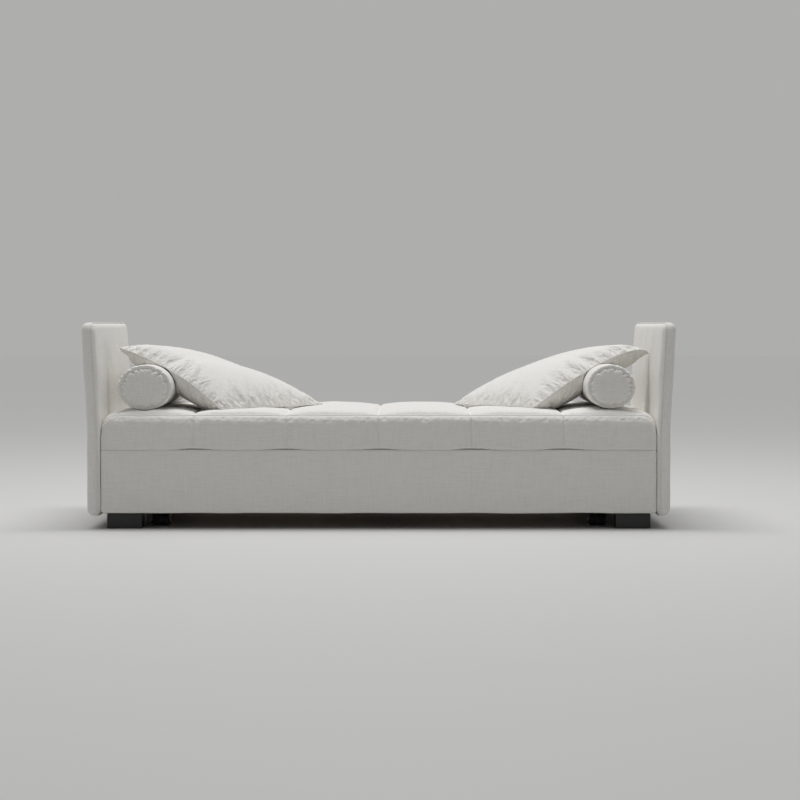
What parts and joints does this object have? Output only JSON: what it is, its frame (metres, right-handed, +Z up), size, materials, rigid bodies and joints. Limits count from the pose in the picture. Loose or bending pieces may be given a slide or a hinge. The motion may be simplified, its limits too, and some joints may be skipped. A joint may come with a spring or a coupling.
{
  "type": "trundle sofa bed",
  "caption": "Upholstered daybed with padded end panels, quilted mattress, bolsters and pillows; a lower bed on rollers pulls out from under it with the front panel.",
  "frame": {"origin": "on the floor under the middle of the bed", "axes": "+X along the length, to the right seen from the front; -Y to the front; +Z up"},
  "size_m": [2.1278, 0.9, 0.745],
  "materials": {
    "upholstery_linen": "woven, matte",
    "mattress_linen": "woven, quilted",
    "cushion_linen": "woven, matte",
    "mattress_ticking": "woven, matte",
    "foam": "open cells, matte",
    "plywood": "sanded",
    "birch_slat": "satin",
    "black_lacquer": "satin black",
    "powder_coat": "fine texture",
    "zinc_steel": "zinc plated",
    "nylon": "moulded",
    "rubber": "matte"
  },
  "bodies": {
    "bed_frame": {"left_end_core": "plywood", "right_end_core": "plywood", "left_end_padding": "foam", "right_end_padding": "foam", "left_end_cover": "upholstery_linen", "right_end_cover": "upholstery_linen", "end_panel_bolts": "zinc_steel", "front_left_foot": "black_lacquer", "front_right_foot": "black_lacquer", "rear_left_foot": "black_lacquer", "rear_right_foot": "black_lacquer", "foot_plates": "powder_coat", "foot_bolts": "zinc_steel", "foot_plate_screws": "zinc_steel", "left_side_board": "plywood", "right_side_board": "plywood", "back_panel_core": "plywood", "back_panel_padding": "foam", "back_panel_cover": "upholstery_linen", "back_panel_bolts": "zinc_steel", "rear_bumpers": "rubber", "slat_front_rail": "powder_coat", "slat_rear_rail": "powder_coat", "slat_cross_tubes": "powder_coat", "slat_frame_brackets": "powder_coat", "bracket_screws": "zinc_steel", "upper_slats": "birch_slat", "upper_slat_holders": "nylon", "upper_mattress_cover": "mattress_linen", "upper_mattress_core": "foam", "guide_strips": "nylon"},
    "trundle": {"front_panel_core": "plywood", "front_panel_padding": "foam", "front_panel_cover": "upholstery_linen", "panel_uprights": "powder_coat", "panel_screws": "zinc_steel", "trundle_front_rail": "powder_coat", "trundle_rear_rail": "powder_coat", "trundle_left_rail": "powder_coat", "trundle_right_rail": "powder_coat", "trundle_cross_bars": "powder_coat", "lower_slats": "birch_slat", "lower_slat_holders": "nylon", "lower_mattress_cover": "mattress_ticking", "lower_mattress_core": "foam", "roller_forks": "powder_coat", "roller_axles": "zinc_steel", "roller_screws": "zinc_steel"},
    "front_left_wheel": {"front_left_roller": "nylon", "front_left_tyres": "rubber"},
    "front_right_wheel": {"front_right_roller": "nylon", "front_right_tyres": "rubber"},
    "rear_left_wheel": {"rear_left_roller": "nylon", "rear_left_tyres": "rubber"},
    "rear_right_wheel": {"rear_right_roller": "nylon", "rear_right_tyres": "rubber"},
    "left_bolster": {"left_bolster": "cushion_linen"},
    "left_pillow": {"left_pillow": "cushion_linen"},
    "right_bolster": {"right_bolster": "cushion_linen"},
    "right_pillow": {"right_pillow": "cushion_linen"}
  },
  "joints": [
    {"name": "trundle_slide", "type": "slide", "parent": "bed_frame", "child": "trundle", "axis": [0, -1, 0], "range_m": [0, 0.85]},
    {"name": "front_left_wheel_spin", "type": "hinge", "parent": "trundle", "child": "front_left_wheel", "pos_m": [-0.8, -0.3025, 0.022], "axis": [1, 0, 0], "continuous": true},
    {"name": "front_right_wheel_spin", "type": "hinge", "parent": "trundle", "child": "front_right_wheel", "pos_m": [0.8, -0.3025, 0.022], "axis": [1, 0, 0], "continuous": true},
    {"name": "rear_left_wheel_spin", "type": "hinge", "parent": "trundle", "child": "rear_left_wheel", "pos_m": [-0.8, 0.288, 0.022], "axis": [1, 0, 0], "continuous": true},
    {"name": "rear_right_wheel_spin", "type": "hinge", "parent": "trundle", "child": "rear_right_wheel", "pos_m": [0.8, 0.288, 0.022], "axis": [1, 0, 0], "continuous": true},
    {"name": "left_bolster_lift", "type": "slide", "parent": "bed_frame", "child": "left_bolster", "axis": [0, 0, 1], "range_m": [0, 0.35]},
    {"name": "left_pillow_lift", "type": "slide", "parent": "left_bolster", "child": "left_pillow", "axis": [0, 0, 1], "range_m": [0, 0.3]},
    {"name": "right_bolster_lift", "type": "slide", "parent": "bed_frame", "child": "right_bolster", "axis": [0, 0, 1], "range_m": [0, 0.35]},
    {"name": "right_pillow_lift", "type": "slide", "parent": "right_bolster", "child": "right_pillow", "axis": [0, 0, 1], "range_m": [0, 0.3]}
  ],
  "couplings": [
    {"joint": "front_left_wheel_spin", "follows": "trundle_slide", "rad_per_m": 45.455},
    {"joint": "front_right_wheel_spin", "follows": "trundle_slide", "rad_per_m": 45.455},
    {"joint": "rear_left_wheel_spin", "follows": "trundle_slide", "rad_per_m": 45.455},
    {"joint": "rear_right_wheel_spin", "follows": "trundle_slide", "rad_per_m": 45.455}
  ]
}
